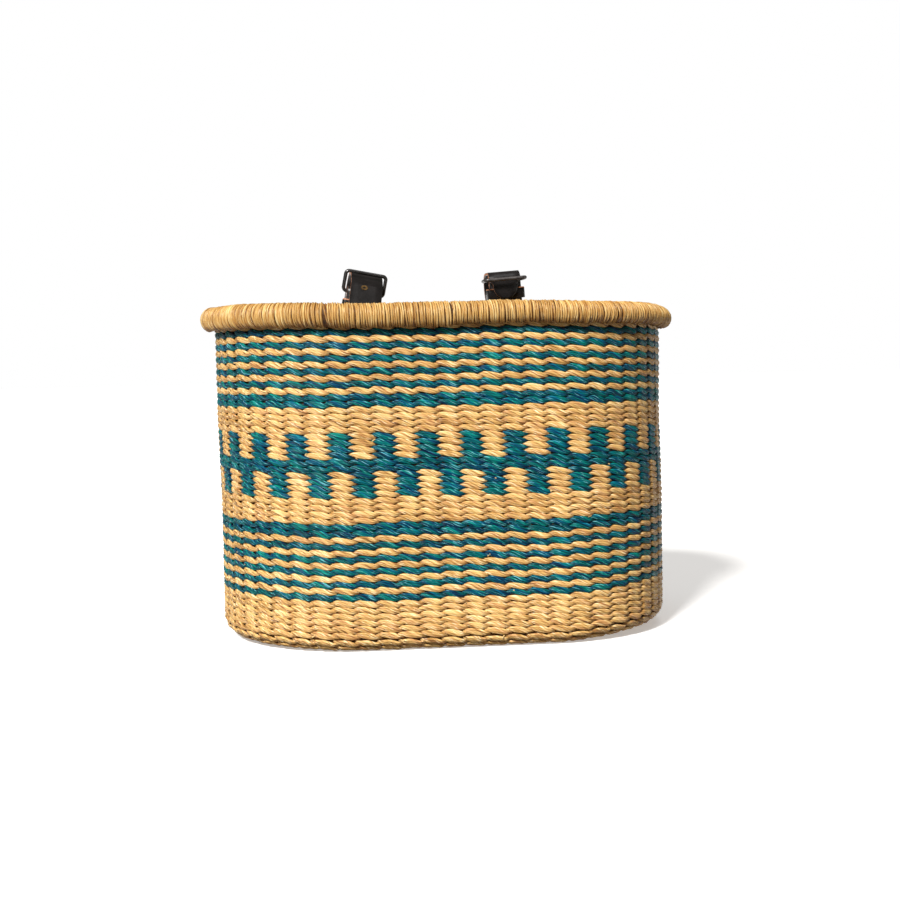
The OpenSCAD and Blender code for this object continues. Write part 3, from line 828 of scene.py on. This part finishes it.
def end_caps(k, last):
    """The strip's cut ends, at the first and the last ring of k points."""
    caps = []
    for r in (0, last):
        for j in range(k // 2 - 1):
            quad = [r * k + j, r * k + j + 1, r * k + (k - 2 - j), r * k + (k - 1 - j)]
            caps.append(quad if r else quad[::-1])
    return np.array(caps)


def belt(side):
    """A leather strip: dressed faces, raw cut edges, a prong slot and a tongue-shaped end."""
    pts, t = resample(strap_line(side), STRIP_STEP)
    n = len(pts)
    d = np.gradient(pts, axis=0)
    d /= np.maximum(np.hypot(*d.T), 1e-9)[:, None]
    left = np.stack([-d[:, 1], d[:, 0]], 1)
    rest = t[-1] - t
    half = half_width(rest, TONGUES[side])
    shift = TAIL_SHIFT[side] * ease(-rest, -SHIFT_STRETCH[0], -SHIFT_STRETCH[1])
    sec = strip_section()
    k = len(sec)
    verts = np.zeros((n, k, 3))
    for j, (across, off, inward) in enumerate(sec):
        verts[:, j, 0] = across * half - np.sign(across) * inward + shift
        verts[:, j, 1] = pts[:, 0] + left[:, 0] * off
        verts[:, j, 2] = pts[:, 1] + left[:, 1] * off
    faces = tube_faces(n, k, False)
    column = np.arange(len(faces)) % k
    ring = np.arange(len(faces)) // k
    first, last = (int(end / STRIP_STEP) for end in SLOT)
    solid = ~((ring >= first) & (ring < last) & ((column == 4) | (column == 12)))
    raw = (column == 0) | (column == k // 2)
    cut = np.concatenate([slot_walls(k, first, last), end_caps(k, n - 1)])
    faces = np.concatenate([faces[solid], cut])
    mat_idx = np.concatenate([raw[solid].astype(int), np.ones(len(cut), int)])
    return mesh_object(side + "_belt", place(side, verts.reshape(-1, 3)), faces[:, ::-1], [leather, raw_edge],
                       face_mat=mat_idx)


def build_strap(side):
    """One side's strap, which rides on the basket."""
    ob = belt(side)
    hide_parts(side + "_strap")
    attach(ob, "basket")


# Height, thickness and corner radius of a keeper, its middle's half width, and its drop below the heel bar
KEEPER_H, KEEPER_T, KEEPER_R = 9.0, 2.0, 1.6
KEEPER_HALF_W, KEEPER_DROP = 14.6, 6.5
KEEPER_BEVEL, KEEPER_WORN = 0.3, 0.9


def keeper_ring():
    """The keeper's middle line, a rounded rectangle round the fold, and its outward normals."""
    x, y0, y1, r = KEEPER_HALF_W - KEEPER_R, RUN_Y - 2.5 + KEEPER_R, REAR_Y + 2.5 - KEEPER_R, KEEPER_R
    ring = []
    for cx, cy, a0 in ((x, y0, -90), (x, y1, 0), (-x, y1, 90), (-x, y0, 180)):
        for a in np.radians(np.linspace(a0, a0 + 90, 6)):
            ring.append((cx + r * math.cos(a), cy + r * math.sin(a)))
    ring = np.array(ring)
    along = np.roll(ring, -1, 0) - np.roll(ring, 1, 0)
    along /= np.hypot(*along.T)[:, None]
    return ring, np.stack([along[:, 1], -along[:, 0]], 1)


def keeper_section(side):
    """The keeper's section as offsets from its middle line and heights, with a worn upper edge."""
    h, z1 = KEEPER_T / 2, HEEL_Z[side] - KEEPER_DROP
    z0, b = z1 - KEEPER_H, KEEPER_BEVEL
    return [(h, z0 + b), (h, z1 - KEEPER_WORN), (h - b, z1), (-h + b, z1), (-h, z1 - b), (-h, z0 + b),
            (-h + b, z0), (h - b, z0)]


def build_keeper(side):
    """The loose leather loop round the fold, drawn as a closed strip."""
    ring, nor = keeper_ring()
    sec = keeper_section(side)
    lines = [np.column_stack([ring + nor * off, np.full(len(ring), z)]) for off, z in sec]
    verts = np.stack(lines, 1).reshape(-1, 3)
    faces = tube_faces(len(ring), len(sec), True)
    mat_idx = np.tile(np.array([0, 1, 1, 0, 0, 0, 1, 0]), len(ring))
    ob = mesh_object(side + "_loop", place(side, verts), faces[:, ::-1], [leather, raw_edge],
                     face_mat=mat_idx)
    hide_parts(side + "_keeper")
    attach(ob, side + "_keeper")


def dress(name, mat):
    """Gives a carried-over CAD piece its material."""
    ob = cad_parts[name]
    ob.data.materials.clear()
    ob.data.materials.append(mat)


# ---- Stage, light and camera ----
# Each light's name, azimuth, elevation, strength, softness in degrees and colour
SUNS = [("key", -30, 36, 6.0, 12, (1.0, 0.985, 0.96)), ("top", 20, 78, 0.55, 30, (1, 1, 1))]
FLOOR_HALF, FLOOR_Z, FLOOR_GLOW = 6.0, -0.0006, 0.35
ROOM_COLOUR, ROOM_STRENGTH = (1.0, 0.93, 0.84, 1), 0.245


def sun(name, azimuth, elevation, strength, softness, colour):
    """Parallel soft light from an azimuth (0 is the front, negative the left) and elevation, in degrees."""
    data = bpy.data.lights.new(name, "SUN")
    data.energy, data.angle, data.color = strength, math.radians(softness), colour
    ob = bpy.data.objects.new(name, data)
    az, el = math.radians(azimuth), math.radians(elevation)
    towards = Vector((-math.sin(az) * math.cos(el), math.cos(az) * math.cos(el), -math.sin(el)))
    ob.rotation_euler = towards.to_track_quat("-Z", "Y").to_euler()
    bpy.context.collection.objects.link(ob)


def build_floor():
    """A pale floor that glows a little and throws no light back on the basket."""
    s = FLOOR_HALF
    me = bpy.data.meshes.new("floor")
    me.from_pydata([(-s, -s, 0), (s, -s, 0), (s, s, 0), (-s, s, 0)], [], [(0, 1, 2, 3)])
    floor = bpy.data.objects.new("floor", me)
    bpy.context.collection.objects.link(floor)
    mat, _nt, bsdf = new_material("floor_white")
    bsdf.inputs["Base Color"].default_value = (0.9, 0.9, 0.9, 1)
    bsdf.inputs["Roughness"].default_value = 0.9
    bsdf.inputs["Emission Color"].default_value = (1, 1, 1, 1)
    bsdf.inputs["Emission Strength"].default_value = FLOOR_GLOW
    floor.data.materials.append(mat)
    floor.visible_diffuse = False
    floor.location.z = FLOOR_Z


def build_world():
    """A dim warm room for the light, seen by the camera as a white backdrop."""
    world = bpy.data.worlds.new("studio")
    world.use_nodes = True
    nt = world.node_tree
    nt.nodes.clear()
    dim = node(nt, "ShaderNodeBackground", Color=ROOM_COLOUR, Strength=ROOM_STRENGTH)
    white = node(nt, "ShaderNodeBackground", Color=(1, 1, 1, 1), Strength=1.0)
    path = nt.nodes.new("ShaderNodeLightPath")
    both = nt.nodes.new("ShaderNodeMixShader")
    out = nt.nodes.new("ShaderNodeOutputWorld")
    nt.links.new(path.outputs["Is Camera Ray"], both.inputs[0])
    nt.links.new(dim.outputs[0], both.inputs[1])
    nt.links.new(white.outputs[0], both.inputs[2])
    nt.links.new(both.outputs[0], out.inputs[0])
    bpy.context.scene.world = world


# Where the camera is, in metres: sideways, away and up. Its turns in degrees, and its lens on a sensor in mm
CAM = {"cx": 0.0063, "dist": 1.2295, "h": 0.221, "pitch": 4.18, "roll": 1.08, "yaw": 6.5, "lens": 65.6}
SENSOR = 36


def build_camera():
    """A camera in front of the basket, a little to the left of it and looking slightly down."""
    yaw, pitch, roll = (math.radians(CAM[k]) for k in ("yaw", "pitch", "roll"))
    c, s = math.cos(yaw), math.sin(yaw)
    loc = Vector((c * CAM["cx"] - s * CAM["dist"], -s * CAM["cx"] - c * CAM["dist"], CAM["h"]))
    forward = Vector((s * math.cos(pitch), c * math.cos(pitch), -math.sin(pitch)))
    level = Vector((c, -s, 0))
    above = level.cross(forward)
    right = level * math.cos(roll) - above * math.sin(roll)
    up = above * math.cos(roll) + level * math.sin(roll)
    data = bpy.data.cameras.new("camera")
    data.lens = CAM["lens"]
    data.sensor_width = SENSOR
    ob = bpy.data.objects.new("camera", data)
    ob.matrix_world = Matrix((
        (right.x, up.x, -forward.x, loc.x), (right.y, up.y, -forward.y, loc.y),
        (right.z, up.z, -forward.z, loc.z), (0, 0, 0, 1)))
    bpy.context.collection.objects.link(ob)
    bpy.context.scene.camera = ob
    bpy.context.scene.view_settings.view_transform = "Standard"


woven = build_weave() + [build_base(), build_filling(), build_cut_ends(), build_rim_core(), build_rim_wrap()]
for piece in woven:
    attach(piece, "basket")
for which, wire in (("left", black_wire), ("right", grey_wire)):
    build_strap(which)
    build_keeper(which)
    dress(which + "_strap_rivet", brass)
    dress(which + "_buckle_frame", wire)
    dress(which + "_prong", wire)
dress("left_eyelet", brass)
build_floor()
build_world()
for light in SUNS:
    sun(*light)
build_camera()
